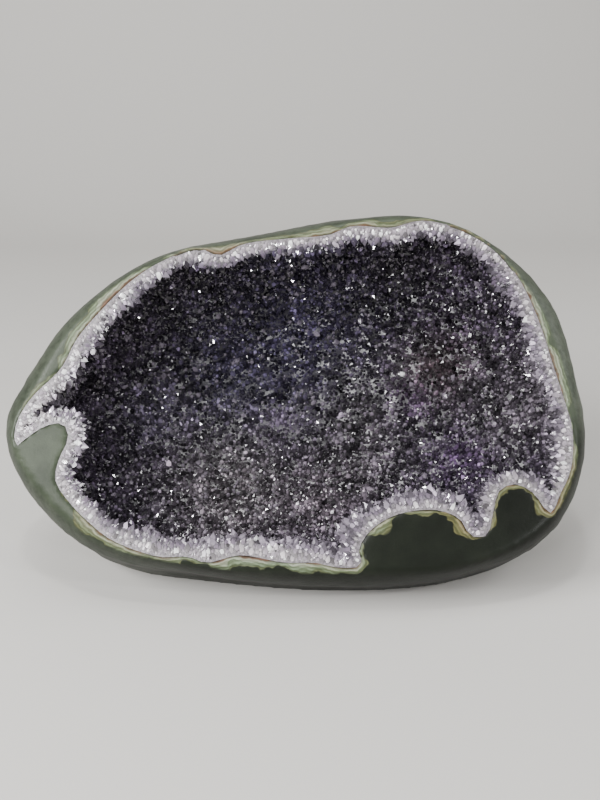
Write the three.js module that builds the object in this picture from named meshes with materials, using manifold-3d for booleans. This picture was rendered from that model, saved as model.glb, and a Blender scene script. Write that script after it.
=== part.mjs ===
// Half of an amethyst geode, standing on a flat ground on its underside with its sawn face leaning back.
// It has two pieces: the basalt rind with a polished rim, and the crust of quartz and amethyst in its hollow.
// Millimetres, +Z up. +X is to the right of someone who faces the opening, which looks along -Y and up.
// The origin is under the middle of the part, on the surface that it stands on.
// Each piece is shaped with the sawn face level at z = 0 and the hollow below it, and then leaned.
import * as THREE from 'three';
import { mergeVertices } from 'three/addons/utils/BufferGeometryUtils.js';
import Module from 'manifold-3d';

// Driving dimensions
const FACE_TILT = 31; // degrees that the way the sawn face looks rises above level
const STANDING_HEIGHT = 136; // middle of the sawn face above the ground flat
const BACK_DEPTH = 172; // sawn face to the back of the rind
const BACK_DROP = 34; // how far the back's middle sags below the middle of the sawn face
const SHOULDER_DEPTH = 30; // depth of the skin's widest section, which stands out past the rim
const RIM_CREASE = 32; // degrees between the sawn face and the skin's slope at the rim
const SKIN_LUMP = 2.2; // height of the skin's broad lumps
const HOLLOW_DEPTH = 118; // sawn face to the rock at the bottom of the hollow
const CRUST_THICKNESS = 13; // rock to the feet of the crystals at the bottom of the hollow
const CRUST_GAP = 0.4; // left between crust and rock, so that the two solids stay apart
const CRYSTAL_HEIGHT = 6.5; // feet to tip of a middling crystal
const CRYSTAL_VARIATION = 0.35; // share of that height by which crystals differ
const CRYSTAL_LEAN = 2.6; // most that a tip wanders sideways
const CLEFT_CUT = 0.85; // share of its height that a crystal loses in the middle of a cleft
const SAW_CLEARANCE = 1; // least depth of a whole tip below the sawn face

// Outer edge of the polished rim, counterclockwise from the left end: [across, up, swell] in the sawn face.
// The swell is how far the skin stands out past the rim at its widest section, behind that point.
const RIM = [
  [-199, -25, 8.5], [-182, -58, 10.3], [-139, -96, 9], [-64, -114, 7], [27, -118, 11], [108, -114, 7.6],
  [168, -85, 10.5], [191, -34, 10.4], [184, 14, 13], [164, 70, 16], [126, 114, 8.3], [84, 129, 6.6],
  [35, 126, 7.8], [-35, 112, 9.6], [-101, 98, 8.8], [-154, 57, 11.6], [-186, 4, 15], [-195, -11, 14],
];

// Where the rock of the rim meets the quartz. A tongue at the left and two lobes low on the right are rock.
const ROCK_EDGE = [
  [-194, -31], [-188, -26], [-174, -17], [-162, -16], [-158, -26], [-164, -41], [-166, -55],
  [-156, -70], [-144, -82], [-127, -95], [-95, -106], [-76, -106], [-63, -110], [-41, -105],
  [-10, -110], [10, -110], [24, -113], [41, -112], [39, -103], [45, -91], [60, -80], [78, -75],
  [95, -75], [109, -81], [116, -92], [126, -92], [130, -79], [135, -62], [146, -57], [159, -63],
  [170, -77], [176, -65], [184, -48], [186, -21], [181, 0], [174, 24], [167, 49], [157, 75], [148, 91],
  [133, 108], [107, 122], [84, 126], [64, 121], [36, 122], [21, 116], [-10, 113], [-40, 109],
  [-57, 101], [-71, 106], [-96, 97], [-116, 84], [-137, 63], [-154, 42], [-164, 22], [-185, 0],
  [-194, -17],
];

// Where the quartz of the sawn face ends and the open hollow begins.
const QUARTZ_EDGE = [
  [-190, -26], [-180, -13], [-163, -7], [-151, -12], [-149, -28], [-156, -48], [-150, -60], [-129, -84],
  [-102, -91], [-81, -99], [-58, -96], [-20, -99], [14, -102], [32, -105], [30, -89], [51, -75],
  [75, -67], [99, -65], [110, -71], [121, -82], [131, -60], [147, -51], [163, -55], [171, -68],
  [178, -54], [176, -36], [179, -13], [171, 12], [161, 29], [158, 57], [149, 70], [135, 81], [134, 96],
  [119, 104], [111, 115], [98, 114], [84, 118], [70, 112], [36, 113], [21, 105], [-14, 104], [-42, 99],
  [-59, 92], [-80, 96], [-104, 83], [-117, 68], [-133, 56], [-140, 42], [-154, 24], [-166, 7],
  [-185, -10],
];

// Low swellings of the hollow's floor: [across, up, radius, height].
const MOUNDS = [[-52, -44, 55, 13], [104, 2, 50, 12], [-78, 24, 40, 8], [30, 40, 45, 6]];

// Clefts of the hollow where crystals have little room and stay low: [across, up, radius].
const CLEFTS = [[-184, -15, 18], [-166, -11, 20], [120, -76, 16], [162, -53, 22]];

// Points in each ring of a surface, from its middle to its edge
const SKIN_RINGS = [1, 8, 16, 24, 32, 40, 48, 56, 64, 72, 72, 72, 72];
const HOLLOW_RINGS = [1, 8, 16, 24, 32, 40, 48, 64, 96, 128, 168];
const CRYSTAL_RINGS = Array.from({ length: 29 }, (_, ring) => Math.max(1, 6 * ring));
const SHOULDER_START = 9 / 12; // the skin ring at the widest section, as a share of all its rings

const WELD = 1e-3; // points closer than this are one
const OUTLINE_SAMPLES = 240;
const HOLLOW_RELAXING = 260; // rounds of smoothing from the hollow's edge to its floor
const HOLLOW_FULLNESS = 2.5; // 2 is a round bowl, more is a squarer one
const BACK_RELAXING = 120;
const BACK_FULLNESS = 2.35;
const TILT_STEP = 1e-3; // share of a turn or of the reach over which a wall's slope is read

// A closed outline as a function from a share of its length to a point on it.
function outline(points) {
  const curve = new THREE.CatmullRomCurve3(points.map(([x, y, z = 0]) => new THREE.Vector3(x, y, z)), true);
  curve.arcLengthDivisions = 20 * points.length;
  return (turn) => curve.getPointAt(turn % 1);
}

// The same outline with its lobes and notches smoothed away, as a wall has them deeper in the hollow.
function relaxed(edge, rounds) {
  let ring = Array.from({ length: OUTLINE_SAMPLES }, (_, i) => edge(i / OUTLINE_SAMPLES));
  for (let round = 0; round < rounds; round += 1) {
    ring = ring.map((point, i) => {
      const before = ring.at(i - 1);
      const after = ring[(i + 1) % OUTLINE_SAMPLES];
      return point.clone().multiplyScalar(2).add(before).add(after).multiplyScalar(0.25);
    });
  }
  const curve = new THREE.CatmullRomCurve3(ring, true);
  return (turn) => curve.getPoint(turn % 1);
}

// The way out of a counterclockwise outline, square to it.
function outward(edge, turn) {
  const step = 0.5 / OUTLINE_SAMPLES;
  const along = edge(turn + step).sub(edge(turn + 1 - step));
  return new THREE.Vector3(along.y, -along.x, 0).normalize();
}

// How a wall turns in to its middle: its spread and its drop, both as shares, where reach is 1 at the edge.
function vault(reach, fullness) {
  const angle = (reach * Math.PI) / 2;
  return {
    spread: Math.sin(angle) ** (2 / fullness),
    drop: reach === 1 ? 0 : Math.cos(angle) ** (2 / fullness),
  };
}

function moundHeight(point) {
  return MOUNDS.reduce((height, [x, y, radius, rise]) => {
    const share = ((point.x - x) ** 2 + (point.y - y) ** 2) / radius ** 2;
    return height + rise * Math.exp(-share);
  }, 0);
}

// Share of its full height that a crystal has room for.
function room(point) {
  return CLEFTS.reduce((share, [x, y, radius]) => {
    const away = ((point.x - x) ** 2 + (point.y - y) ** 2) / radius ** 2;
    return Math.min(share, 1 - CLEFT_CUT * Math.exp(-(away ** 2)));
  }, 1);
}

// A repeatable number from -1 to 1 for a crystal.
function scatter(ring, index, salt) {
  const wave = Math.sin(ring * 12.9898 + index * 78.233 + salt * 37.719) * 43758.5453;
  return 2 * (wave - Math.floor(wave)) - 1;
}

// The wall of a hollow below an outline: lobed at the sawn face, smoother and narrower with depth.
function hollowWall(edge, depth) {
  const deep = relaxed(edge, HOLLOW_RELAXING);
  const lobesFrom = 0.62;
  return (turn, reach) => {
    const { spread, drop } = vault(reach, HOLLOW_FULLNESS);
    const point = deep(turn).lerp(edge(turn), THREE.MathUtils.smoothstep(reach, lobesFrom, 1));
    point.multiplyScalar(spread);
    point.z = drop * (moundHeight(point) - depth);
    return point;
  };
}

// The way from a hollow's wall into the hollow, square to the wall. At the sawn face it stays in that face.
function inward(wall, turn, reach) {
  if (reach === 0) return new THREE.Vector3(0, 0, 1);
  const along = wall(turn + TILT_STEP, reach).sub(wall(turn + 1 - TILT_STEP, reach));
  const up = wall(turn, Math.min(1, reach + TILT_STEP)).sub(wall(turn, reach - TILT_STEP));
  const way = up.cross(along);
  if (reach === 1) way.setZ(0);
  return way.normalize();
}

// The rind's skin: a shoulder that swells past the rim, then a full round back that sags a little.
function skin(rim) {
  const swollen = (turn, share) => {
    const point = rim(turn);
    const swell = point.z * share;
    return point.setZ(0).addScaledVector(outward(rim, turn), swell);
  };
  const widest = (turn) => swollen(turn, 1);
  const deep = relaxed(widest, BACK_RELAXING);
  const crease = THREE.MathUtils.degToRad(RIM_CREASE);
  const shoulder = (turn, share) => {
    const angle = THREE.MathUtils.lerp(crease, Math.PI / 2, share);
    const point = swollen(turn, (Math.sin(angle) - Math.sin(crease)) / (1 - Math.sin(crease)));
    point.z = -SHOULDER_DEPTH * (1 - Math.cos(angle) / Math.cos(crease));
    return point;
  };
  const back = (turn, reach) => {
    const { spread, drop } = vault(reach, BACK_FULLNESS);
    const point = widest(turn).lerp(deep(turn), 1 - reach);
    const waves = Math.sin(6 * Math.PI * turn + 5 * reach) + Math.sin(10 * Math.PI * turn - 9 * reach);
    const lump = SKIN_LUMP * drop * waves;
    point.multiplyScalar(spread * (1 + lump / point.length()));
    point.y -= BACK_DROP * drop;
    point.z = -SHOULDER_DEPTH - drop * (BACK_DEPTH - SHOULDER_DEPTH + lump);
    return point;
  };
  return (turn, reach) => (reach > SHOULDER_START
    ? shoulder(turn, (1 - reach) / (1 - SHOULDER_START))
    : back(turn, reach / SHOULDER_START));
}

// The crust's open face. Every third point of its net is a crystal's tip, with six feet around it.
function crystalFace(edge, depth) {
  const feet = hollowWall(edge, depth);
  return (turn, reach, ring, index) => {
    const point = feet(turn, reach);
    const isTip = ring === 0 || (ring + (index % ring)) % 3 === 0;
    if (!isTip || reach === 1) return point;
    const rise = inward(feet, turn, reach);
    const size = room(point);
    const height = CRYSTAL_HEIGHT * (1 + CRYSTAL_VARIATION * scatter(ring, index, 1));
    const lean = new THREE.Vector3(scatter(ring, index, 2), scatter(ring, index, 3), scatter(ring, index, 4));
    point.addScaledVector(rise, size * height).addScaledVector(lean, size * CRYSTAL_LEAN);
    point.z = Math.min(point.z, -SAW_CLEARANCE);
    return point;
  };
}

// Triangles of a surface made of rings about its middle, seen from the side where they run counterclockwise.
function disc(surface, counts) {
  const last = counts.length - 1;
  const rings = counts.map((count, ring) => (
    Array.from({ length: count }, (_, index) => surface(index / count, ring / last, ring, index))));
  const triangles = [];
  for (let ring = 1; ring <= last; ring += 1) {
    const inner = rings[ring - 1];
    const outer = rings[ring];
    let i = 0;
    let o = 0;
    while (o < outer.length || (i < inner.length && inner.length > 1)) {
      const here = inner[i % inner.length];
      const there = outer[o % outer.length];
      const isBehind = inner.length === 1 || (o + 1) * inner.length < (i + 1) * outer.length;
      const outerNext = o < outer.length && isBehind;
      if (outerNext) o += 1;
      else i += 1;
      triangles.push([here, there, outerNext ? outer[o % outer.length] : inner[i % inner.length]]);
    }
  }
  return { triangles, edge: rings[last] };
}

function flipped(triangles) {
  return triangles.map(([a, b, c]) => [a, c, b]);
}

// The flat face between two outlines, looking up.
function flatRing(outer, inner) {
  const hole = inner.toReversed();
  const points = [...outer, ...hole];
  const triangles = THREE.ShapeUtils.triangulateShape(outer, [hole]);
  return triangles.map((corners) => corners.map((corner) => points[corner]));
}

function closedGeometry(triangles) {
  const loose = new THREE.BufferGeometry().setFromPoints(triangles.flat());
  return mergeVertices(loose, WELD);
}

const wasm = await Module();
wasm.setup();

function toSolid(geometry) {
  const vertProperties = new Float32Array(geometry.attributes.position.array);
  const triVerts = new Uint32Array(geometry.index.array);
  return new wasm.Manifold(new wasm.Mesh({ numProp: 3, vertProperties, triVerts }));
}

function toGeometry(solid) {
  const { vertProperties, triVerts } = solid.getMesh();
  const geometry = new THREE.BufferGeometry();
  geometry.setAttribute('position', new THREE.BufferAttribute(vertProperties, 3));
  geometry.setIndex(new THREE.BufferAttribute(triVerts, 1));
  return geometry;
}

// Everything below the ground flat, for the rind to be cut off at.
function groundBlock() {
  const size = 800;
  const block = new THREE.BoxGeometry(size, size, size);
  block.deleteAttribute('normal');
  block.deleteAttribute('uv');
  block.translate(0, 0, -STANDING_HEIGHT - size / 2);
  return mergeVertices(block, WELD);
}

function namedMesh(name, geometry, finish) {
  geometry.computeVertexNormals();
  const mesh = new THREE.Mesh(geometry, new THREE.MeshStandardMaterial(finish));
  mesh.name = name;
  return mesh;
}

const lean = new THREE.Matrix4().makeRotationX(THREE.MathUtils.degToRad(90 - FACE_TILT));
const rockWall = hollowWall(outline(ROCK_EDGE), HOLLOW_DEPTH);

// Rind: skin, polished rim and the rock wall of the hollow, with the ground flat cut off square
function makeRind() {
  const outside = disc(skin(outline(RIM)), SKIN_RINGS);
  const inside = disc(rockWall, HOLLOW_RINGS);
  const rim = flatRing(outside.edge, inside.edge);
  const whole = closedGeometry([...flipped(outside.triangles), ...rim, ...inside.triangles]);
  return toGeometry(toSolid(whole.applyMatrix4(lean)).subtract(toSolid(groundBlock())));
}

// Crust: a back that follows the rock, the quartz of the sawn face and the open face of crystals
function makeCrust() {
  const back = disc((turn, reach) => {
    const point = rockWall(turn, reach);
    return point.addScaledVector(inward(rockWall, turn, reach), CRUST_GAP);
  }, HOLLOW_RINGS);
  const face = disc(crystalFace(outline(QUARTZ_EDGE), HOLLOW_DEPTH - CRUST_THICKNESS), CRYSTAL_RINGS);
  const quartz = flatRing(back.edge, face.edge);
  return closedGeometry([...flipped(back.triangles), ...quartz, ...face.triangles]).applyMatrix4(lean);
}

const rind = namedMesh('rind', makeRind(), { color: '#5c665a', roughness: 0.55, metalness: 0 });
const crust = namedMesh('crystal_crust', makeCrust(), { color: '#4a3d5c', roughness: 0.15, metalness: 0 });

const geode = new THREE.Group();
geode.add(rind, crust);
const middle = new THREE.Box3().setFromObject(geode).getCenter(new THREE.Vector3());
geode.position.set(-middle.x, -middle.y, STANDING_HEIGHT);
geode.updateMatrixWorld(true);

export default geode;
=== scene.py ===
import math

import bpy
import numpy as np
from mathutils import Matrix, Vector, noise
from mathutils.bvhtree import BVHTree


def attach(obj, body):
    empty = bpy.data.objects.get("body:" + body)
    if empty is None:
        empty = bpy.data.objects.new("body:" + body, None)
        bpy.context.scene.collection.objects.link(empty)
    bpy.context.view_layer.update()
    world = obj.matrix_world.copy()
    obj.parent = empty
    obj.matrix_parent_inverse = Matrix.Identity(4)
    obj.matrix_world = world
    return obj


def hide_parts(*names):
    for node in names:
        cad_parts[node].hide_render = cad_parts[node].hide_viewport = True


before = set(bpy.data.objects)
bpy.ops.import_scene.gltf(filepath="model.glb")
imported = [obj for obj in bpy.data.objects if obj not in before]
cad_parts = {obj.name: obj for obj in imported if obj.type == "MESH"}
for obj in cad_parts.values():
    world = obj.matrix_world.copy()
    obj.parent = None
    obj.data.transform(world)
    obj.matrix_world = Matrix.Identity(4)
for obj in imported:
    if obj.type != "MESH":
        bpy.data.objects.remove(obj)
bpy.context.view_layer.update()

# Rind: a shell of grey-green basalt, one natural piece, sawn through and polished along its rim.
# Its skin is matte and a little lumpy. Next to the quartz the rim has pale chalcedony bands,
# which are colour in the polished stone. It stands on a flat that is ground on its underside.
MM = 0.001

# The sawn face: its middle, and the directions across, up and out of it
FACE_TILT = math.radians(31)
FACE_MIDDLE = np.array((3.0, -48.5, 136.0)) * MM
FACE_ACROSS = np.array((1.0, 0.0, 0.0))
FACE_UP = np.array((0.0, math.sin(FACE_TILT), math.cos(FACE_TILT)))
FACE_OUT = np.array((0.0, -math.cos(FACE_TILT), math.sin(FACE_TILT)))

# The mesh, and how its skin is smoothed and made lumpy: (width, height) of each kind of lump
MERGE_DISTANCE = 0.01 * MM
RIND_GRID = 2.25 * MM
TOUCHING_MM = 0.8
THIN_ROCK_MM = 3.4
SMOOTH_FACTOR = 0.5
SKIN_SMOOTHING = 45
SKIN_LUMPS = [(45 * MM, 2.4 * MM), (14 * MM, 1.1 * MM), (6 * MM, 0.6 * MM)]
GROUND_MM = 0.6
# Where smoothing and lumps start and where they are full: away from the quartz, behind the sawn
# face and above the ground
QUARTZ_EDGE_MM = (1.5, 6)
RIM_DEPTH_MM = (2, 10)
RIM_SOFTNESS = 0.35
LUMPY_DEPTH_MM = (3, 22)
LUMPY_HEIGHT_MM = (1, 12)
# The same for its colours, by depth behind the sawn face
SAWN_FADE_MM = (0.2, 1.2)
# Where the painted light and shade on the rock fades out behind the sawn face
PAINTED_LIGHT_DEPTH_MM = (40, 110)
WEATHERED_DEPTH_MM = (20, 80)

# How wide the pale bands are beside a place on the quartz's edge: (across, up, width), all in mm
BAND_WIDTHS = [
    (-165, 35, 9), (-130, 78, 15), (-96, 100, 12), (-57, 104, 12), (-20, 112, 7), (30, 122, 9),
    (84, 128, 6), (135, 108, 10), (165, 60, 11), (182, 5, 11), (188, -40, 8), (172, -78, 8),
    (160, -62, 2), (146, -57, 5), (133, -66, 5), (122, -92, 2), (110, -82, 11), (95, -75, 8),
    (75, -74, 4), (48, -90, 8), (40, -104, 7), (10, -111, 9), (-40, -106, 11), (-90, -107, 7),
    (-130, -95, 9), (-150, -80, 8), (-164, -42, 0.5), (-158, -22, 1), (-185, -22, 2),
]
# How stained with iron the bands are beside a place on the rim: (across, up, share)
STAINS = [
    (-165, 35, 0.15), (-110, 90, 0.1), (-57, 104, 0.5), (30, 122, 0.4), (135, 108, 0.6),
    (165, 60, 0.1), (186, -10, 0.1), (178, -70, 0.8), (146, -57, 0.7), (108, -80, 0.9),
    (75, -74, 0.5), (42, -104, 0.3), (-20, -108, 0.05), (-100, -105, 0.35), (-160, -60, 0.5),
    (-175, -20, 0.5),
]
# Painted light and shade on the rock beside a place on the rim, darkest low and to the right: (across,
# up, share of its usual colour)
ROCK_PAINTED_LIGHTS = [
    (-175, -40, 0.9), (-165, -80, 0.8), (-130, -110, 0.6), (-60, -125, 0.25), (20, -128, 0.18),
    (85, -105, 0.15), (155, -75, 0.1), (190, -50, 0.35), (197, 20, 1.2), (165, 85, 1.1),
    (60, 135, 0.9), (-60, 120, 0.9), (-140, 80, 0.85), (-190, 0, 0.85),
]
# How such a list is blended between its places: a blur in square mm, and a power of the distance
SPOT_BLUR = 30.0
SPOT_FALLOFF = 1.5


def in_face(points):
    """Points in metres as mm across and up in the sawn face, and mm of depth behind it."""
    offset = (np.asarray(points) - FACE_MIDDLE) / MM
    return np.column_stack((offset @ FACE_ACROSS, offset @ FACE_UP, -(offset @ FACE_OUT)))


def vertices_of(mesh):
    places = np.empty(3 * len(mesh.vertices), dtype=np.float32)
    mesh.vertices.foreach_get("co", places)
    return places.reshape(-1, 3).astype(float)


def corners_of(mesh):
    """The three vertices of each triangle."""
    mesh.calc_loop_triangles()
    corners = np.empty(3 * len(mesh.loop_triangles), dtype=np.int32)
    mesh.loop_triangles.foreach_get("vertices", corners)
    return corners.reshape(-1, 3)


def tree_of(obj):
    """The surface of a CAD node, for distances to it."""
    return BVHTree.FromPolygons(vertices_of(obj.data).tolist(), corners_of(obj.data).tolist())


def distances_mm(tree, places):
    return np.array([tree.find_nearest(place)[3] for place in places.tolist()]) / MM


def take(piece):
    """Makes a piece the only one that operators act on."""
    bpy.ops.object.select_all(action="DESELECT")
    piece.select_set(True)
    bpy.context.view_layer.objects.active = piece


def merged_copy(node_name, name):
    """A new piece with a CAD node's faces, its loose triangles merged."""
    piece = bpy.data.objects.new(name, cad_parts[node_name].data.copy())
    bpy.context.scene.collection.objects.link(piece)
    piece.data.name = name
    piece.data.materials.clear()
    take(piece)
    bpy.ops.object.mode_set(mode="EDIT")
    bpy.ops.mesh.select_all(action="SELECT")
    bpy.ops.mesh.remove_doubles(threshold=MERGE_DISTANCE)
    bpy.ops.object.mode_set(mode="OBJECT")
    return piece


def modify(piece, kind, **settings):
    """Adds a modifier to a piece and applies it."""
    modifier = piece.modifiers.new(kind.lower(), kind)
    for key, value in settings.items():
        setattr(modifier, key, value)
    take(piece)
    bpy.ops.object.modifier_apply(modifier=modifier.name)


def refine(piece):
    """Splits each face in four without moving anything."""
    modify(piece, "SUBSURF", subdivision_type="SIMPLE", levels=1, render_levels=1)


def smooth(piece, iterations, group):
    modify(piece, "SMOOTH", factor=SMOOTH_FACTOR, iterations=iterations, vertex_group=group)


def weigh(piece, name, weights):
    """Stores a weight for each vertex as a vertex group, to the nearest tenth."""
    group = piece.vertex_groups.new(name=name)
    tenths = np.round(weights, 1)
    for share in np.unique(tenths):
        if share > 0:
            members = np.flatnonzero(tenths == share)
            group.add(members.tolist(), float(share), "REPLACE")


def store(piece, name, values):
    """Stores a number for each vertex as an attribute that materials can read."""
    layer = piece.data.attributes.new(name, "FLOAT", "POINT")
    layer.data.foreach_set("value", np.asarray(values, dtype=np.float32))


def ease(values, start, end):
    """0 before start, 1 after end, with a smooth step between."""
    share = np.clip((values - start) / (end - start), 0, 1)
    return share * share * (3 - 2 * share)


def from_spots(face_places, spots):
    """A number at each place in the sawn face, drawn from spots near it: (across, up, number)."""
    spots = np.array(spots, dtype=float)
    away = ((face_places[:, None, :2] - spots[None, :, :2]) ** 2).sum(2)
    nearness = 1 / (SPOT_BLUR + away) ** SPOT_FALLOFF
    return (nearness * spots[:, 2]).sum(1) / nearness.sum(1)


rind_tree = tree_of(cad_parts["rind"])
crust_tree = tree_of(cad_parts["crystal_crust"])

rind = merged_copy("rind", "basalt_rind")
refine(rind)
# Rock thinner than the grid would tear, so its outside is drawn away from the quartz.
for vertex in rind.data.vertices:
    from_quartz = vertex.co - crust_tree.find_nearest(vertex.co)[0]
    thickness_mm = from_quartz.length / MM
    if TOUCHING_MM < thickness_mm < THIN_ROCK_MM:
        vertex.co += (THIN_ROCK_MM - thickness_mm) * MM * from_quartz.normalized()
modify(rind, "REMESH", mode="VOXEL", voxel_size=RIND_GRID, adaptivity=0)

places = vertices_of(rind.data)
height_mm = places[:, 2] / MM
across_up_depth = in_face(places)
depth = across_up_depth[:, 2]
to_quartz = distances_mm(crust_tree, places)
soft = ease(to_quartz, *QUARTZ_EDGE_MM)
soft *= RIM_SOFTNESS + (1 - RIM_SOFTNESS) * ease(depth, *RIM_DEPTH_MM)
soft[height_mm < GROUND_MM] = 0
weigh(rind, "skin", soft)
smooth(rind, SKIN_SMOOTHING, "skin")
weigh(rind, "lumpy", soft * ease(depth, *LUMPY_DEPTH_MM) * ease(height_mm, *LUMPY_HEIGHT_MM))
for lump_width, lump_height in SKIN_LUMPS:
    lumps = bpy.data.textures.new("skin_lumps", "CLOUDS")
    lumps.noise_scale = lump_width
    modify(
        rind, "DISPLACE", texture=lumps, texture_coords="LOCAL", strength=lump_height,
        vertex_group="lumpy",
    )
bpy.ops.object.shade_smooth()

# Painted light and shade near the sawn face: the rock is darkened at the bottom and lower right, and
# lightened at the right
rock_painted_light = from_spots(across_up_depth, ROCK_PAINTED_LIGHTS)
store(rind, "from_quartz", to_quartz)
store(rind, "sawn", 1 - ease(depth, *SAWN_FADE_MM))
store(rind, "rock_painted_light", 1 + (rock_painted_light - 1) * (1 - ease(depth, *PAINTED_LIGHT_DEPTH_MM)))
store(rind, "weathered", ease(depth, *WEATHERED_DEPTH_MM))
store(rind, "band_width", from_spots(across_up_depth, BAND_WIDTHS))
store(rind, "stain", from_spots(across_up_depth, STAINS))

# Basalt. In a list, each colour stands at a value of its grain, or of how sawn the stone is
WHITE = (1, 1, 1, 1)
BLACK = (0, 0, 0, 1)
SKIN_COLOURS = [(0.32, (0.034, 0.042, 0.029, 1)), (0.70, (0.064, 0.075, 0.053, 1))]
POLISHED_COLOURS = [(0.30, (0.029, 0.037, 0.023, 1)), (0.75, (0.056, 0.069, 0.045, 1))]
PIT_SHADES = [(0.38, (0.62, 0.63, 0.60, 1)), (0.56, WHITE)]
RUST = (0.092, 0.068, 0.036, 1)
RUST_PLACES = [(0.53, BLACK), (0.72, WHITE)]
RUST_SHARE = 0.6
BASALT_ROUGHNESS = [(0.0, (0.48, 0.48, 0.48, 1)), (1.0, (0.34, 0.34, 0.34, 1))]
BASALT_SPECULAR = 0.17
BASALT_BUMP = 0.5 * MM
BASALT_BUMP_STRENGTH = 0.35
# Grains: (features in a metre, detail, roughness)
SKIN_GRAIN = (38, 6, 0.6)
POLISHED_GRAIN = (55, 5, 0.55)
RUST_GRAIN = (17, 6, 0.65)
PIT_GRAIN = (230, 4, 0.7)
BUMP_GRAIN = (420, 5, 0.65)
WAVER_GRAIN = (110, 3, 0.55)
PATCH_GRAIN = (45, 2, 0.55)
GRAIN_MIDDLE = 0.5
# How the bands waver, and how they come and go along the rim
BAND_WAVER_MM = 5.0
PATCH_FLOOR = 0.33
PATCH_GAIN = 4.2
PATCH_LEAST = 0.05
BAND_END = [(0.85, WHITE), (1.0, BLACK)]
# Fine growth lines in the bands: how far apart they are, and how dark
LINE_SPACING_MM = 2.4
LINE_SHADES = [(0.0, (0.62, 0.62, 0.58, 1)), (0.5, WHITE)]
# Chalcedony from the quartz outwards, with the share of the bands' width where each colour stands
CHALCEDONY = [
    (0.00, (0.105, 0.042, 0.030, 1)),
    (0.16, (0.125, 0.075, 0.052, 1)),
    (0.24, (0.190, 0.205, 0.155, 1)),
    (0.38, (0.240, 0.270, 0.205, 1)),
    (0.46, (0.095, 0.125, 0.078, 1)),
    (0.60, (0.145, 0.185, 0.115, 1)),
    (0.74, (0.065, 0.085, 0.050, 1)),
    (0.88, (0.085, 0.098, 0.052, 1)),
    (1.00, (0.020, 0.025, 0.017, 1)),
]
# The same bands where iron has stained them
STAINED = [
    (0.00, (0.085, 0.040, 0.026, 1)),
    (0.15, (0.125, 0.088, 0.040, 1)),
    (0.40, (0.160, 0.140, 0.058, 1)),
    (0.60, (0.070, 0.068, 0.026, 1)),
    (0.80, (0.105, 0.096, 0.038, 1)),
    (1.00, (0.020, 0.022, 0.014, 1)),
]


def new_material(name):
    """A material with only a Principled BSDF. Returns the material, its tree and the shader."""
    material = bpy.data.materials.new(name)
    material.use_nodes = True
    tree = material.node_tree
    return material, tree, tree.nodes["Principled BSDF"]


def node(tree, kind, **settings):
    made = tree.nodes.new(kind)
    for key, value in settings.items():
        setattr(made, key, value)
    return made


def stone_grain_group():
    """A node group with the cloudy grain that every stone here has, on Object coordinates."""
    group = bpy.data.node_groups.new("stone_grain", "ShaderNodeTree")
    inlet = node(group, "NodeGroupInput")
    texture = node(group, "ShaderNodeTexNoise")
    for name in ("Scale", "Detail", "Roughness"):
        group.interface.new_socket(name, in_out="INPUT", socket_type="NodeSocketFloat")
        group.links.new(inlet.outputs[name], texture.inputs[name])
    group.interface.new_socket("Grain", in_out="OUTPUT", socket_type="NodeSocketFloat")
    coordinates = node(group, "ShaderNodeTexCoord")
    group.links.new(coordinates.outputs["Object"], texture.inputs["Vector"])
    outlet = node(group, "NodeGroupOutput")
    group.links.new(texture.outputs["Fac"], outlet.inputs["Grain"])
    return group


stone_grain = stone_grain_group()


def grain(tree, scale, detail, roughness):
    """The stone grain with features of about 1/scale metres."""
    made = node(tree, "ShaderNodeGroup", node_tree=stone_grain)
    made.inputs["Scale"].default_value = scale
    made.inputs["Detail"].default_value = detail
    made.inputs["Roughness"].default_value = roughness
    return made.outputs["Grain"]


def attribute(tree, name, output="Fac"):
    return node(tree, "ShaderNodeAttribute", attribute_name=name).outputs[output]


def join(tree, values, sockets):
    """Gives each socket its value: another socket is linked, and anything else is set."""
    for value, socket in zip(values, sockets):
        if isinstance(value, bpy.types.NodeSocket):
            tree.links.new(value, socket)
        else:
            socket.default_value = value


def math_node(tree, operation, *values):
    made = node(tree, "ShaderNodeMath", operation=operation)
    join(tree, values, made.inputs)
    return made.outputs["Value"]


def ramp(tree, factor, stops):
    made = node(tree, "ShaderNodeValToRGB")
    elements = made.color_ramp.elements
    while len(elements) < len(stops):
        elements.new(0.5)
    for element, (place, colour) in zip(elements, stops):
        element.position = place
        element.color = colour
    tree.links.new(factor, made.inputs["Fac"])
    return made.outputs["Color"]


def mix_colour(tree, factor, first, second, blend="MIX"):
    """A Mix node for colours, whose factor is its socket 0, colours 6 and 7, and result 2."""
    made = node(tree, "ShaderNodeMix", data_type="RGBA", blend_type=blend)
    join(tree, (factor, first, second), (made.inputs[0], made.inputs[6], made.inputs[7]))
    return made.outputs[2]


def shaded(tree, colour, shade):
    return mix_colour(tree, 1.0, colour, shade, "MULTIPLY")


def bump(tree, height, distance, strength):
    made = node(tree, "ShaderNodeBump")
    made.inputs["Distance"].default_value = distance
    made.inputs["Strength"].default_value = strength
    tree.links.new(height, made.inputs["Height"])
    return made.outputs["Normal"]


def rock_colour(tree, sawn):
    """Pitted skin with rust on its weathered back, and cleaner rock where it is sawn, under painted
    light and shade near the face.
    """
    skin = ramp(tree, grain(tree, *SKIN_GRAIN), SKIN_COLOURS)
    rust_places = ramp(tree, grain(tree, *RUST_GRAIN), RUST_PLACES)
    rust = math_node(tree, "MULTIPLY", attribute(tree, "weathered"), rust_places)
    skin = mix_colour(tree, math_node(tree, "MULTIPLY", rust, RUST_SHARE), skin, RUST)
    skin = shaded(tree, skin, ramp(tree, grain(tree, *PIT_GRAIN), PIT_SHADES))
    polished = ramp(tree, grain(tree, *POLISHED_GRAIN), POLISHED_COLOURS)
    return shaded(tree, mix_colour(tree, sawn, skin, polished), attribute(tree, "rock_painted_light"))


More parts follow.
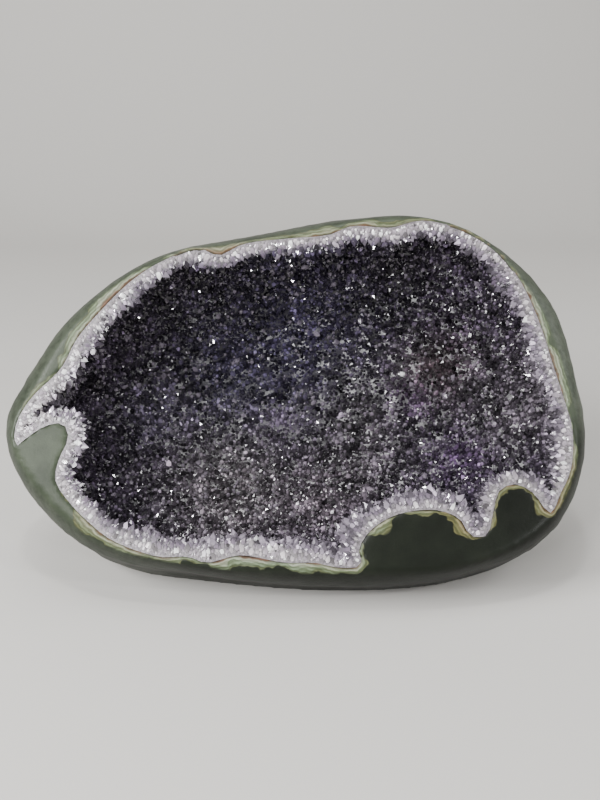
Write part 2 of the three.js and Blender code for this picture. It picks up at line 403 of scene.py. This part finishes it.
def band_colour(tree):
    """The chalcedony's colour, and how far across its bands a place is, from 0 to 1."""
    waver = math_node(tree, "SUBTRACT", grain(tree, *WAVER_GRAIN), GRAIN_MIDDLE)
    waver = math_node(tree, "MULTIPLY", waver, BAND_WAVER_MM)
    wavy = math_node(tree, "ADD", attribute(tree, "from_quartz"), waver)
    patches = math_node(tree, "SUBTRACT", grain(tree, *PATCH_GRAIN), PATCH_FLOOR)
    patches = math_node(tree, "MULTIPLY", patches, PATCH_GAIN)
    patches = math_node(tree, "MAXIMUM", patches, PATCH_LEAST)
    width = math_node(tree, "MULTIPLY", attribute(tree, "band_width"), patches)
    banding = math_node(tree, "DIVIDE", wavy, width)
    clean = ramp(tree, banding, CHALCEDONY)
    stained = ramp(tree, banding, STAINED)
    bands = mix_colour(tree, attribute(tree, "stain"), clean, stained)
    turns = math_node(tree, "MULTIPLY", wavy, 2 * math.pi / LINE_SPACING_MM)
    lines = ramp(tree, math_node(tree, "SINE", turns), LINE_SHADES)
    return shaded(tree, bands, lines), banding


def basalt_material():
    material, tree, shader = new_material("basalt")
    sawn = attribute(tree, "sawn")
    rock = rock_colour(tree, sawn)
    bands, banding = band_colour(tree)
    in_band = math_node(tree, "MULTIPLY", sawn, ramp(tree, banding, BAND_END))
    tree.links.new(mix_colour(tree, in_band, rock, bands), shader.inputs["Base Color"])
    tree.links.new(ramp(tree, sawn, BASALT_ROUGHNESS), shader.inputs["Roughness"])
    shader.inputs["Specular IOR Level"].default_value = BASALT_SPECULAR
    uneven = bump(tree, grain(tree, *BUMP_GRAIN), BASALT_BUMP, BASALT_BUMP_STRENGTH)
    tree.links.new(uneven, shader.inputs["Normal"])
    return material


rind.data.materials.append(basalt_material())
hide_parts("rind")
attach(rind, "root")

# Crust: the layer of quartz that grew on the hollow's rock wall, white where the saw went through.
# Its open face is the bed that the crystals stand on, so it is softened to a knobbly ground.
CUT_DEPTH_MM = 0.08
BED_SMOOTHING = 5
# The edge of the white band is drawn out into the rock and raised a hair above it. The rock has
# to reach SEAM_ROOM times as far, a little below the cut.
SEAM_REACH = 1.1 * MM
SEAM_RISE = 0.06 * MM
SEAM_ROOM = 2
SEAM_PROBE = 0.5 * MM

QUARTZ_IOR = 1.544
QUARTZ_WHITE = np.array((0.69, 0.635, 0.66))
QUARTZ_LILAC = np.array((0.27, 0.235, 0.285))
AMETHYST = np.array((0.035, 0.027, 0.041))
# A painted shade for the crystals under the overhang at the top of the hollow
CEILING_PAINTED_SHADE = (0.012, 0.010, 0.013)
# How far the bed is darkened below the crystals' colour: painted shade in the gaps between crystals
BED_PAINTED_SHADE = 0.3
BED_GRAIN = (520, 3, 0.6)
BED_SHADES = [(0.35, (0.45, 0.42, 0.47, 1)), (0.62, WHITE)]
BED_ROUGHNESS = 0.3
BED_BUMP_GRAIN = (600, 3, 0.55)
BED_BUMP = 0.6 * MM
BED_BUMP_STRENGTH = 0.6

# How the white's width wavers, and where white and lilac fade, as shares of their own widths
WHITE_WAVER_LENGTH = 11 * MM
WHITE_WAVER_SHARE = 0.8
WHITE_FADE = (0.65, 1.25)
WHITE_DEPTH_MM = (0.5, 5)
LILAC_FADE = (0.1, 1.4)
# Clusters of lighter and darker crystals: how far apart they are, and how much they differ
CLUSTER_LENGTH = 13 * MM
CLUSTER_DEPTH = 1.3
# How wide the white quartz is from the rock inwards, beside a place on the rim: (across, up, width)
WHITE_WIDTHS = [
    (-188, -22, 10), (-168, -8, 8), (-150, 35, 5), (-110, 85, 5), (-70, 100, 4.5), (-35, 106, 4.5),
    (0, 112, 4.5), (35, 118, 5), (70, 124, 5.5), (105, 118, 3.5), (140, 95, 4.5), (165, 55, 4),
    (178, 0, 3.5), (184, -35, 7), (165, -70, 3.5), (148, -52, 5.5), (128, -88, 5), (95, -72, 5),
    (60, -76, 5.5), (38, -95, 4), (20, -107, 4), (0, -108, 6.5), (-35, -104, 8), (-70, -103, 6.5),
    (-105, -98, 6), (-140, -75, 5), (-156, -40, 4), (-155, -15, 4.5),
]
# How far past the white the crystals stay pale beside a place on the rim: (across, up, depth)
PALE_DEPTHS = [
    (-186, -18, 55), (-168, -8, 40), (-150, 35, 8), (-120, 80, 6), (-70, 100, 4.5), (0, 108, 3.5),
    (60, 115, 4), (120, 110, 9), (155, 70, 12), (175, 10, 20), (178, -45, 22), (165, -58, 22),
    (147, -50, 24), (120, -75, 26), (75, -66, 28), (35, -90, 40), (-20, -98, 30), (-70, -96, 17),
    (-125, -84, 7), (-152, -50, 5), (-150, -20, 5),
]
# Broad changes of the crystals' colour, the first three a painted shade under the overhang at the top:
# (across, up, radius in mm, colour)
TINT_SHARE = 0.5
TINTS = [
    (-85, 78, 34, CEILING_PAINTED_SHADE),
    (-15, 92, 36, CEILING_PAINTED_SHADE),
    (60, 102, 34, CEILING_PAINTED_SHADE),
    (0, 45, 55, (0.064, 0.056, 0.118)),
    (-60, 25, 36, (0.075, 0.068, 0.115)),
    (40, 5, 46, (0.048, 0.041, 0.040)),
    (-110, 0, 22, (0.150, 0.130, 0.190)),
    (-15, -8, 14, (0.150, 0.115, 0.180)),
    (85, 10, 15, (0.130, 0.080, 0.160)),
    (118, -35, 15, (0.150, 0.085, 0.195)),
    (103, 32, 24, (0.085, 0.056, 0.058)),
    (158, 0, 34, (0.150, 0.128, 0.150)),
    (-50, -58, 46, (0.178, 0.157, 0.164)),
    (15, -68, 24, (0.210, 0.170, 0.200)),
    (45, -48, 36, (0.085, 0.073, 0.083)),
]


def store_colour(piece, colours):
    """Stores a colour for each vertex as an attribute that materials can read."""
    layer = piece.data.color_attributes.new("stone_colour", "FLOAT_COLOR", "POINT")
    opaque = np.column_stack((colours, np.ones(len(colours))))
    layer.data.foreach_set("color", opaque.astype(np.float32).ravel())


def drifts(places, length):
    """A number between -1 and 1 at each place, which changes smoothly over that length."""
    return np.array([noise.noise(Vector(place) / length) for place in places.tolist()])


def crystal_colours(places):
    """The crystals' colour at places: white beside the rock at the saw cut, then lilac, then purple."""
    faced = in_face(places)
    depth = faced[:, 2]
    from_rock = distances_mm(rind_tree, places)
    colours = np.repeat(AMETHYST[None, :], len(places), axis=0)
    # The tints include painted shade under the top overhang
    for across, up, radius, colour in TINTS:
        away = ((faced[:, :2] - (across, up)) ** 2).sum(1) / radius**2
        share = TINT_SHARE * np.exp(-away)[:, None]
        colours = colours * (1 - share) + np.array(colour) * share
    colours *= np.exp(CLUSTER_DEPTH * drifts(places, CLUSTER_LENGTH))[:, None]
    waver = drifts(places, WHITE_WAVER_LENGTH)
    white_width = from_spots(faced, WHITE_WIDTHS) * (1 + WHITE_WAVER_SHARE * waver)
    past_white = np.maximum(from_rock - white_width, 0) + np.maximum(depth, 0)
    lilac = 1 - ease(past_white / from_spots(faced, PALE_DEPTHS), *LILAC_FADE)
    white = (1 - ease(from_rock / white_width, *WHITE_FADE)) * (1 - ease(depth, *WHITE_DEPTH_MM))
    for share, colour in ((lilac[:, None], QUARTZ_LILAC), (white[:, None], QUARTZ_WHITE)):
        colours = colours * (1 - share) + colour * share
    return colours


crust = merged_copy("crystal_crust", "quartz_crust")
refine(crust)
places = vertices_of(crust.data)
is_back = distances_mm(rind_tree, places) < TOUCHING_MM
is_cut = in_face(places)[:, 2] < CUT_DEPTH_MM
weigh(crust, "bed", (~is_back & ~is_cut).astype(float))
smooth(crust, BED_SMOOTHING, "bed")
# The bed gets the crystals' colours darkened: painted shade in the gaps between the crystals and grains
store_colour(crust, BED_PAINTED_SHADE * crystal_colours(places))

# No seam shows between the two stones this way. Beside rock that is too thin, the edge only rises.
for index in np.flatnonzero(is_back & is_cut).tolist():
    vertex = crust.data.vertices[index]
    into_rock = rind_tree.find_nearest(vertex.co)[0] - vertex.co
    reach = SEAM_REACH * into_rock.normalized()
    probe = vertex.co + SEAM_ROOM * reach - SEAM_PROBE * Vector(FACE_OUT)
    rock_place, rock_normal = rind_tree.find_nearest(probe)[:2]
    if (probe - rock_place).dot(rock_normal) < 0:
        vertex.co += reach
    vertex.co += SEAM_RISE * Vector(FACE_OUT)


def quartz_material():
    material, tree, shader = new_material("quartz_bed")
    shades = ramp(tree, grain(tree, *BED_GRAIN), BED_SHADES)
    colour = shaded(tree, attribute(tree, "stone_colour", "Color"), shades)
    tree.links.new(colour, shader.inputs["Base Color"])
    shader.inputs["Roughness"].default_value = BED_ROUGHNESS
    shader.inputs["IOR"].default_value = QUARTZ_IOR
    uneven = bump(tree, grain(tree, *BED_BUMP_GRAIN), BED_BUMP, BED_BUMP_STRENGTH)
    tree.links.new(uneven, shader.inputs["Normal"])
    return material


crust.data.materials.append(quartz_material())
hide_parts("crystal_crust")
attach(crust, "root")

# Crystals: thousands of short six-sided quartz points that cover the bed, glassy and partly clear.
# They lean every way a little, are white next to the saw cut and purple below, with paler feet.
# The teeth are larger pale ones that line the saw cut, and the small ones fill the room between.
RANDOM = np.random.default_rng(4979)
SIDES = 6
# Sizes: radius in mm, and how many places are tried. As teeth stand only near the cut, their
# places are picked from TOOTH_CHOICE times as many.
TOOTH_SIZES = [(2.2, 1300), (1.6, 6000)]
TOOTH_CHOICE = 8
POINT_SIZES = [("large", 2.0, 1300), ("middling", 1.4, 15000), ("small", 0.95, 48000)]
# How deep teeth stand: a share of the pale depth, or the least depth. And how much taller they are
TOOTH_SHARE = 0.35
TOOTH_LEAST_MM = 3.5
TOOTH_RISE = 1.35
# Proportions of a crystal, in radii
SIZE_SPREAD = (0.85, 1.2)
SHOULDER_RISE = (0.15, 0.75)
SHOULDER_UNEVEN = 0.22
TIP_RISE = (0.95, 1.35)
TIP_WANDER = 0.3
FOOT_SINK = 1.3
FOOT_WIDTH = 0.9
# How crystals stand: their spacing in radii, how they lean, and how far they stay behind the cut
POINT_SPACING = 0.82
POINT_LEAN = 0.30
SAW_CLEARANCE_MM = 0.15
# Places that are settled are kept in cells, so that only near ones are compared
CELL_MM = 5.0
NEAR_CELLS = (-1, 0, 1)
# Tones: how they spread between crystals, and from a crystal's foot to its tip
TONE_MIDDLE = -0.3
TONE_SPREAD = 0.75
TONE_BY_HEIGHT = np.array([1.35] * SIDES + [1.05] * SIDES + [0.75])
LIGHTEST = 0.85
PALE_SHARE = 0.10
ODD_MIX = 0.6
AMETHYST_ROUGHNESS = 0.06
AMETHYST_CLEARNESS = 0.35


def open_triangles(mesh, keep):
    """Corner places of the triangles for which keep gives true."""
    corners = corners_of(mesh)
    return vertices_of(mesh)[corners[keep(corners)]]


def strew(triangles, count):
    """Random places on triangles, even over their area, with the triangles' normals."""
    along = triangles[:, 1] - triangles[:, 0]
    aside = triangles[:, 2] - triangles[:, 0]
    crosses = np.cross(along, aside)
    areas = np.linalg.norm(crosses, axis=1)
    picked = RANDOM.choice(len(triangles), size=count, p=areas / areas.sum())
    first, second = RANDOM.random((2, count))
    over = first + second > 1
    first[over] = 1 - first[over]
    second[over] = 1 - second[over]
    spots = triangles[picked, 0] + first[:, None] * along[picked] + second[:, None] * aside[picked]
    return spots, crosses[picked] / areas[picked, None]


def settle(spots, radius, taken):
    """Indices of the places with room for a crystal of that radius in mm. Adds them to taken."""
    kept = []
    for index, spot in enumerate((spots / MM).tolist()):
        x, y, z = (int(value // CELL_MM) for value in spot)
        near = [
            other
            for dx in NEAR_CELLS
            for dy in NEAR_CELLS
            for dz in NEAR_CELLS
            for other in taken.get((x + dx, y + dy, z + dz), ())
        ]
        if all(math.dist(spot, place) > POINT_SPACING * (radius + size) for place, size in near):
            taken.setdefault((x, y, z), []).append((spot, radius))
            kept.append(index)
    return np.array(kept, dtype=int)


def unit(vectors):
    return vectors / np.linalg.norm(vectors, axis=1)[:, None]


def leaning(normals, lean):
    """Directions that lean away from the normals at random."""
    return unit(normals + lean * RANDOM.normal(size=normals.shape))


def crystal_corners(spots, axes, radii_mm, rise, foot_sink):
    """Each crystal's corners: a ring of feet, a ring of shoulders and a tip."""
    count = len(spots)
    radii = (radii_mm * RANDOM.uniform(*SIZE_SPREAD, count) * MM)[:, None]
    side = unit(np.cross(axes, RANDOM.normal(size=(count, 3))))
    other = np.cross(axes, side)
    shoulder = radii * RANDOM.uniform(*SHOULDER_RISE, count)[:, None] * rise
    tip = shoulder + radii * RANDOM.uniform(*TIP_RISE, count)[:, None] * rise
    turns = (np.arange(SIDES) * 2 * math.pi / SIDES)[None, :, None]
    ring = side[:, None] * np.cos(turns) + other[:, None] * np.sin(turns)
    feet = spots[:, None] + FOOT_WIDTH * radii[:, None] * ring - (foot_sink * radii * axes)[:, None]
    uneven = RANDOM.uniform(-SHOULDER_UNEVEN, SHOULDER_UNEVEN, (count, SIDES, 1)) * radii[:, None]
    shoulders = spots[:, None] + radii[:, None] * ring + (shoulder * axes)[:, None]
    shoulders += uneven * axes[:, None]
    wander = RANDOM.uniform(-1, 1, (count, 1)) * side
    wander += RANDOM.uniform(-1, 1, (count, 1)) * other
    tips = spots + tip * axes + TIP_WANDER * radii * wander
    return np.concatenate((feet, shoulders, tips[:, None]), axis=1)


def crystal_faces(count):
    """The triangles of that many crystals: sides, top and foot of each."""
    last = 2 * SIDES
    pattern = []
    for foot in range(SIDES):
        after = (foot + 1) % SIDES
        pattern.append((foot, after, SIDES + after))
        pattern.append((foot, SIDES + after, SIDES + foot))
        pattern.append((SIDES + foot, SIDES + after, last))
    pattern += [(0, foot + 1, foot) for foot in range(1, SIDES - 1)]
    starts = (last + 1) * np.arange(count)[:, None, None]
    return (np.array(pattern)[None] + starts).reshape(-1, 3)


def crystal_points(
    name, spots, axes, radii_mm, rise=1.0, foot_sink=FOOT_SINK, clearance_mm=SAW_CLEARANCE_MM
):
    """One mesh of closed crystals. None comes nearer the saw cut than the clearance."""
    corners = crystal_corners(spots, axes, radii_mm, rise, foot_sink).reshape(-1, 3)
    past_saw = np.minimum(in_face(corners)[:, 2] - clearance_mm, 0)
    corners += (past_saw * MM)[:, None] * FACE_OUT
    mesh = bpy.data.meshes.new(name)
    mesh.from_pydata(corners.tolist(), [], crystal_faces(len(spots)).tolist())
    piece = bpy.data.objects.new(name, mesh)
    bpy.context.scene.collection.objects.link(piece)
    return piece


def paint_points(piece, colours, odd_share, odd_colour):
    """Gives each crystal a tone of its colour, deeper at its tip, and a share of them an odd colour."""
    count = len(colours)
    tone = RANDOM.lognormal(TONE_MIDDLE, TONE_SPREAD, count)[:, None]
    odd = (RANDOM.random(count) < odd_share)[:, None]
    odd_mix = (1 - ODD_MIX) * colours + ODD_MIX * odd_colour
    colours = np.clip(np.where(odd, odd_mix, colours * tone), 0, LIGHTEST)
    store_colour(piece, (colours[:, None] * TONE_BY_HEIGHT[None, :, None]).reshape(-1, 3))


def amethyst_material():
    material, tree, shader = new_material("amethyst")
    tree.links.new(attribute(tree, "stone_colour", "Color"), shader.inputs["Base Color"])
    shader.inputs["Roughness"].default_value = AMETHYST_ROUGHNESS
    shader.inputs["IOR"].default_value = QUARTZ_IOR
    shader.inputs["Transmission Weight"].default_value = AMETHYST_CLEARNESS
    return material


amethyst = amethyst_material()


def finish_points(piece, colours, odd_share=PALE_SHARE, odd_colour=QUARTZ_LILAC):
    paint_points(piece, colours, odd_share, odd_colour)
    piece.data.materials.append(amethyst)
    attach(piece, "root")


bed = open_triangles(
    crust.data, lambda corners: ~is_back[corners].any(1) & ~is_cut[corners].all(1)
)
bed_room = {}
tooth_parts = []
for radius, tries in TOOTH_SIZES:
    spots, normals = strew(bed, TOOTH_CHOICE * tries)
    faced = in_face(spots)
    deepest = np.maximum(TOOTH_SHARE * from_spots(faced, PALE_DEPTHS), TOOTH_LEAST_MM)
    near_cut = np.flatnonzero(faced[:, 2] < deepest)[:tries]
    kept = near_cut[settle(spots[near_cut], radius, bed_room)]
    tooth_parts.append((spots[kept], normals[kept], np.full(len(kept), radius)))
spots, normals, radii = (np.concatenate(column) for column in zip(*tooth_parts))
teeth = crystal_points("quartz_teeth", spots, leaning(normals, POINT_LEAN), radii, TOOTH_RISE)
finish_points(teeth, crystal_colours(spots))

for size_name, radius, tries in POINT_SIZES:
    spots, normals = strew(bed, tries)
    kept = settle(spots, radius, bed_room)
    axes = leaning(normals[kept], POINT_LEAN)
    radii = np.full(len(kept), radius)
    points = crystal_points(f"amethyst_points_{size_name}", spots[kept], axes, radii)
    finish_points(points, crystal_colours(spots[kept]))

# Quartz grains: the crystals of the white band, which lie side by side and point from the rock
# into the hollow. They grew with the crust and stand a hair above the cut, some grey or lilac.
GRAIN_SIZES = [(1.9, 900), (1.4, 3500), (0.9, 12000)]
GRAIN_PROUD_MM = 0.6
# In radii: how far a grain lies from the rock and how deep, how tall it is, and how far its foot reaches
GRAIN_INSET = 1.0
GRAIN_SINK = 0.45
GRAIN_RISE = 1.2
GRAIN_FOOT = 0.6
# How grains tilt out of the cut and lean, and the colour and share of the dim ones
GRAIN_TILT = (0.0, 0.5)
GRAIN_LEAN = 0.22
GRAIN_DIM = np.array((0.15, 0.115, 0.165))
GRAIN_DIM_SHARE = 0.38
cut_band = open_triangles(crust.data, lambda corners: is_cut[corners].all(1))
cut_room = {}
grain_parts = []
for radius, tries in GRAIN_SIZES:
    spots = strew(cut_band, tries)[0]
    spots = spots[distances_mm(rind_tree, spots) > GRAIN_INSET * radius]
    kept = settle(spots, radius, cut_room)
    sunk = spots[kept] - GRAIN_SINK * radius * MM * FACE_OUT
    grain_parts.append((sunk, np.full(len(kept), radius)))
spots, radii = (np.concatenate(column) for column in zip(*grain_parts))
from_rock = spots - np.array([rind_tree.find_nearest(place)[0] for place in spots.tolist()])
inward = unit(from_rock - (from_rock @ FACE_OUT)[:, None] * FACE_OUT)
tilt = RANDOM.uniform(*GRAIN_TILT, len(spots))[:, None]
axes = leaning(inward + tilt * FACE_OUT, GRAIN_LEAN)
grains = crystal_points("quartz_grains", spots, axes, radii, GRAIN_RISE, GRAIN_FOOT, -GRAIN_PROUD_MM)
finish_points(grains, crystal_colours(spots), GRAIN_DIM_SHARE, GRAIN_DIM)

# Stage: a plain pale floor that turns up into a wall behind, soft light from the upper left,
# small lights for the crystals' glints, and a camera.
FLOOR_SIZE = 30.0
WALL_PLACE = 1.3
WALL_MARGIN = 0.01
WALL_HEIGHT = 3.0
FLOOR_CURVE = 0.5
FLOOR_CURVE_STEPS = 24
FLOOR_COLOUR = (0.46, 0.447, 0.425, 1)
FLOOR_ROUGHNESS = 0.7
# Lights: (name, place, size, watts)
LIGHT_TARGET = Vector((0, 0, 0.12))
SOFTBOXES = [
    ("key", (-1.25, -0.72, 1.05), 0.7, 42),
    ("ceiling", (-0.15, -0.1, 1.9), 0.9, 14),
    ("rim_gloss", (-0.62, -1.25, 1.12), 0.45, 13),
    ("right_fill", (1.0, 0.15, 0.6), 0.6, 6),
]
GLINT_SIZE = 0.09
GLINT_WATTS = 6.2
GLINTS = [
    ("left_glint", (-1.1, -0.75, 0.62)),
    ("upper_glint", (-0.1, -0.45, 1.7)),
    ("right_glint", (1.0, -0.9, 0.95)),
    ("front_left_glint", (-0.5, -1.3, 0.75)),
    ("front_right_glint", (0.85, -1.1, 0.45)),
]
SKY_COLOUR = (0.95, 0.97, 1.0, 1)
SKY_STRENGTH = 0.18
CAMERA_ELEVATION = math.radians(24)
CAMERA_DISTANCE = 0.756
CAMERA_LENS = 49.5
CAMERA_NEAREST = 0.01

bpy.ops.object.select_all(action="DESELECT")
bpy.ops.mesh.primitive_plane_add(size=FLOOR_SIZE, location=(0, WALL_PLACE - FLOOR_SIZE / 2, 0))
floor = bpy.context.object
floor.name = "floor"
bpy.ops.object.transform_apply(location=True)
bpy.ops.object.mode_set(mode="EDIT")
bpy.ops.mesh.select_all(action="DESELECT")
bpy.ops.object.mode_set(mode="OBJECT")
for edge in floor.data.edges:
    ends = [floor.data.vertices[corner].co.y for corner in edge.vertices]
    edge.select = min(ends) > WALL_PLACE - WALL_MARGIN
bpy.ops.object.mode_set(mode="EDIT")
bpy.ops.mesh.extrude_region_move(TRANSFORM_OT_translate={"value": (0, 0, WALL_HEIGHT)})
bpy.ops.object.mode_set(mode="OBJECT")
modify(floor, "BEVEL", width=FLOOR_CURVE, segments=FLOOR_CURVE_STEPS, limit_method="ANGLE")
bpy.ops.object.shade_smooth()
floor_material, _, floor_shader = new_material("pale_floor")
floor_shader.inputs["Base Color"].default_value = FLOOR_COLOUR
floor_shader.inputs["Roughness"].default_value = FLOOR_ROUGHNESS
floor.data.materials.append(floor_material)


def softbox(name, place, size, watts):
    """A square light that faces the part."""
    light = bpy.data.lights.new(name, "AREA")
    light.size = size
    light.energy = watts
    lamp = bpy.data.objects.new(name, light)
    bpy.context.scene.collection.objects.link(lamp)
    lamp.location = place
    lamp.rotation_euler = (LIGHT_TARGET - Vector(place)).to_track_quat("-Z", "Y").to_euler()


for name, place, size, watts in SOFTBOXES:
    softbox(name, place, size, watts)
for name, place in GLINTS:
    softbox(name, place, GLINT_SIZE, GLINT_WATTS)

world = bpy.data.worlds.new("studio")
world.use_nodes = True
sky = world.node_tree.nodes["Background"]
sky.inputs["Color"].default_value = SKY_COLOUR
sky.inputs["Strength"].default_value = SKY_STRENGTH
bpy.context.scene.world = world

camera = bpy.data.objects.new("camera", bpy.data.cameras.new("camera"))
bpy.context.scene.collection.objects.link(camera)
camera.data.lens = CAMERA_LENS
camera.data.clip_start = CAMERA_NEAREST
towards_camera = Vector((0, -math.cos(CAMERA_ELEVATION), math.sin(CAMERA_ELEVATION)))
camera.location = Vector(FACE_MIDDLE) + CAMERA_DISTANCE * towards_camera
camera.rotation_euler = (-towards_camera).to_track_quat("-Z", "Y").to_euler()
bpy.context.scene.camera = camera
